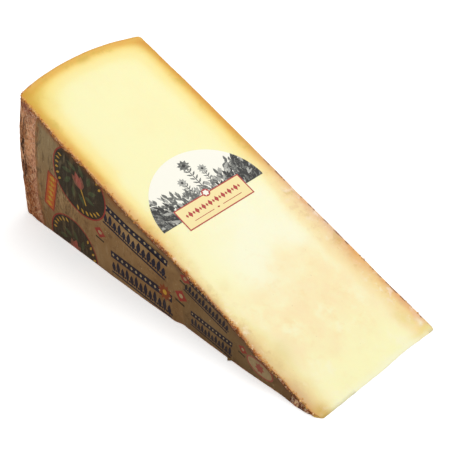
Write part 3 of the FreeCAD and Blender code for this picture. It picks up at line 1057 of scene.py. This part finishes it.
rind_inks = {"paper": paper_ink("greasy_wrapping_paper", "997549", 1)}
for ink, code, worn in (("navy", "0d1428", 0.04), ("red", "9a2f2c", 0.1), ("dark", "1f1c13", 0.08),
                        ("green", "33462c", 0.1), ("gold", "cf9c34", 0.15),
                        ("orange", "c85e26", 0.12), ("rust", "86391c", 0.15),
                        ("pink", "ac504a", 0.2), ("dusty_pink", "864c40", 0.15),
                        ("faded_cream", "bfa77c", 0.3)):
    rind_inks[ink] = paper_ink(ink + "_ink", code, worn)
rind_paper = printed_sheet("rind_paper_print", rind_paper_shapes(), rind_inks, lay_on_rind,
                           spacing=2.0, thickness=0.3)
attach(rind_paper, "root")
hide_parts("rind_paper")


# ---- The label on the cut ------------------------------------------------------------------
# A half round of coated paper pressed on the fresh cut. Its generic print is dark leaves round a
# pale field with a tall flower between two smaller ones, and along the flat side a straight
# cream ribbon with a red edge.

label_low, label_high = box_in_mm("cut_label")
LABEL_TOP = (AXIS_X - label_low.x) / math.cos(WEDGE_ANGLE)
LABEL_RADIUS = (label_high.y - label_low.y) / 2
LABEL_FOOT = LABEL_TOP - LABEL_RADIUS            # wheel axis to the half round's flat side
LABEL_Y = (label_high.y + label_low.y) / 2
OVERHANG = LABEL_FOOT - (AXIS_X - label_high.x) / math.cos(WEDGE_ANGLE)


def label_ink(name, code, grain=0.0, grain_code="ffffff"):
    """Smooth print, with a fine engraved grain of another colour where grain is above 0."""
    material, tree, shader = new_material(name, 0.5, Specular_IOR_Level=0.3)
    if not grain:
        shader.inputs["Base Color"].default_value = colour(code)
        return material
    place = object_place(tree)
    x, y, z = split(place)
    lines = cloudy(joined(x * 0.6 + y * 0.5, y - x, z * 0.6), 1.5, roughness=0.7)
    tint = mixed(lines.step(0.52, 0.64) * grain, code, grain_code)
    feed(tint, shader.inputs["Base Color"])
    return material


def label_shapes():
    """All that is printed on the cut label, its own up towards the heel."""
    arc = [math.pi * step / 72 for step in range(73)]
    half_ribbon = 29.0
    sheet = [(LABEL_RADIUS * math.cos(turn), LABEL_RADIUS * math.sin(turn)) for turn in arc]
    sheet += [(-half_ribbon, 0.0), (-half_ribbon, -OVERHANG), (half_ribbon, -OVERHANG),
              (half_ribbon, 0.0)]
    shapes = [("sky", sheet)]
    draw = random.Random(31)

    def stamp(ink, *outlines):
        shapes.extend((ink, outline) for outline in outlines)

    # the leaves: low and pale in the middle, tall, dark and dense at both ends
    width = LABEL_RADIUS
    for way, inner, tall in ((-1, 20.0, 17.0), (1, 24.0, 20.0)):
        stamp("charcoal", [(way * width, -1.0), (way * width, tall),
                           (way * (width - 9), tall * 0.95), (way * (inner + 4), tall * 0.45),
                           (way * inner, 0.0)])
    for layer, count in (("ash", 80), ("slate", 150), ("charcoal", 230), ("slate", 60),
                         ("ash", 25)):
        for _ in range(count):
            x = draw.uniform(-width, width)
            side = abs(x) / width
            reach = {"ash": 13 + 13 * side, "slate": 9 + 20 * side,
                     "charcoal": 2 + 27 * side * side + (3 if x > 0 else 0)}[layer]
            y = draw.uniform(-1.0, reach)
            lean = math.pi / 2 - x / width * 0.7 + draw.uniform(-0.75, 0.75)
            long, wide = draw.uniform(4.0, 7.5), draw.uniform(1.5, 2.7)
            stamp(layer, leaf(long, wide, lean, (x, y)))

    # a tall flower a little off the middle, and a smaller one on either side of it
    for x, tall, lean, scale in ((2.0, 41.0, 0.0, 1.0), (-6.0, 29.0, 0.14, 0.75),
                                 (9.5, 31.0, -0.12, 0.75)):
        tip = (x - tall * math.sin(lean) * 0.55, tall - 6 * scale)
        stamp("slate", [(x - 0.45, 4.0), (x + 0.45, 4.0), (tip[0] + 0.3, tip[1]),
                        (tip[0] - 0.3, tip[1])])
        for step in range(5):
            share = 0.35 + 0.11 * step
            at = (x + (tip[0] - x) * share, 4 + (tip[1] - 4) * share)
            for way in (-1, 1):
                stamp("slate", leaf(4.6 * scale, 1.3 * scale, math.pi / 2 + way * 0.9, at))
        stamp("ash" if scale < 1 else "slate", *rosette(9, 5.0 * scale, tip))
        stamp("charcoal", oval(2.6 * scale, 2.6 * scale, tip, 12))

    # the ribbon, its lozenges and lines, and the red rosette on its upper edge
    top = 9.6
    middle = (top - OVERHANG) / 2
    stamp("red", block(2 * half_ribbon, top + OVERHANG, (0, middle)))
    stamp("ribbon", block(2 * half_ribbon - 1.8, top + OVERHANG - 1.8, (0, middle)))
    for step in range(-8, 9):
        size = 5.2 if step % 2 else 3.0
        stamp("red", oval(size * 0.62, size, (step * 2.9, middle + 1.2), 4))
    stamp("red", *(block(17, 0.5, (way * 12.5, middle - 4.4)) for way in (-1, 1)))
    stamp("red", oval(2.4, 1.5, (0, middle - 4.4), 4), oval(6.4, 6.4, (0, top), 24))
    stamp("sky", *rosette(6, 2.5, (0, top)))
    return shapes


def lay_on_cut(point):
    radius = LABEL_FOOT + point[1]
    normal = Vector((math.sin(WEDGE_ANGLE), 0, math.cos(WEDGE_ANGLE)))
    start = Vector((AXIS_X - radius * math.cos(WEDGE_ANGLE), LABEL_Y + point[0],
                    radius * math.sin(WEDGE_ANGLE))) + normal * 20
    ways = [Vector((0, step, 0)) * MM for step in (-1, 1)]
    return resting_place(start * MM, -normal, ways), normal


label_inks = {
    "sky": label_ink("label_white", "fffdf0"),
    "ash": label_ink("ash_print", "a9a9a2", 0.7, "e8e6da"),
    "slate": label_ink("slate_print", "60615d", 0.75, "d0cfc5"),
    "charcoal": label_ink("charcoal_print", "242422", 0.55, "9a998f"),
    "ribbon": label_ink("cream_print", "fbe9ab"),
    "red": label_ink("red_print", "b5403a"),
}
cut_label = printed_sheet("cut_label_print", label_shapes(), label_inks, lay_on_cut,
                          spacing=3.0, thickness=0.2)
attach(cut_label, "root")
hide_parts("cut_label")


# ---- The studio ----------------------------------------------------------------------------
# A white sweep of paper under the wedge, one broad soft lamp overhead, and a long lens that
# looks down on the upper cut from the tip end, a little to the printed side. In metres.

def white_to_the_camera(tree, surface, glow, finish):
    """Show plain white where the camera or a reflection looks at this surface directly."""
    path = tree.nodes.new("ShaderNodeLightPath").outputs
    seen = Field(path["Is Camera Ray"])
    for label in ("Is Glossy Ray", "Is Transmission Ray"):
        seen = seen.most(path[label])
    mix = tree.nodes.new("ShaderNodeMixShader")
    for value, socket in zip((seen, surface.outputs[0], glow.outputs[0]), mix.inputs):
        feed(value, socket)
    feed(mix.outputs[0], tree.nodes.new(finish).inputs["Surface"])


def make_floor():
    """A floor a hair below the wedge's base, so that the two never share a plane."""
    reach = 4.0
    level = -0.0002
    mesh = bpy.data.meshes.new("studio_floor")
    corners = [(x, y, level) for x, y in block(2 * reach, 2 * reach)]
    mesh.from_pydata(corners, [], [(0, 1, 2, 3)])
    material = bpy.data.materials.new("white_sweep")
    material.use_nodes = True
    tree = material.node_tree
    tree.nodes.clear()
    matt = add_node(tree, "ShaderNodeBsdfDiffuse", Color=(0.86, 0.86, 0.86, 1))
    glow = add_node(tree, "ShaderNodeEmission", Strength=0.5)
    lit = tree.nodes.new("ShaderNodeAddShader")
    feed(matt.outputs[0], lit.inputs[0])
    feed(glow.outputs[0], lit.inputs[1])
    white_to_the_camera(tree, matt, lit, "ShaderNodeOutputMaterial")
    mesh.materials.append(material)
    new_object("studio_floor", mesh)


def make_world():
    world = bpy.data.worlds.new("studio_air")
    bpy.context.scene.world = world
    world.use_nodes = True
    tree = world.node_tree
    tree.nodes.clear()
    air = add_node(tree, "ShaderNodeBackground", Color=(1, 0.99, 0.97, 1), Strength=0.55)
    glow = add_node(tree, "ShaderNodeBackground", Color=(1, 1, 1, 1))
    white_to_the_camera(tree, air, glow, "ShaderNodeOutputWorld")


def make_lamp(name, place, size, power):
    lamp = bpy.data.lights.new(name, "AREA")
    lamp.shape = "DISK"
    lamp.size = size
    lamp.energy = power
    holder = new_object(name, lamp)
    holder.location = place
    holder.rotation_euler = (-Vector(place)).to_track_quat("-Z", "Y").to_euler()


def make_camera():
    """A long lens three quarters of a metre from the wedge, tilted a little to the left."""
    azimuth, elevation, roll = (math.radians(value) for value in (49.62, 38.25, -4.53))
    distance = 0.745
    aim = (Vector(CAD_BOX[0]) + Vector(CAD_BOX[1])) / 2 + Vector((0.019, 0.002, -0.017))
    back = Vector((math.sin(azimuth) * math.cos(elevation),
                   -math.cos(azimuth) * math.cos(elevation), math.sin(elevation)))
    lens = bpy.data.cameras.new("studio_camera")
    lens.angle = math.radians(23.15)
    camera = new_object("studio_camera", lens)
    camera.location = aim + back * distance
    turn = back.to_track_quat("Z", "Y").to_matrix() @ Euler((0, 0, roll)).to_matrix()
    camera.rotation_euler = turn.to_euler()
    bpy.context.scene.camera = camera


make_floor()
make_world()
make_lamp("overhead_lamp", (0.25, 0.55, 1.6), 1.2, 13.45)
make_camera()
bpy.context.scene.view_settings.view_transform = "Standard"
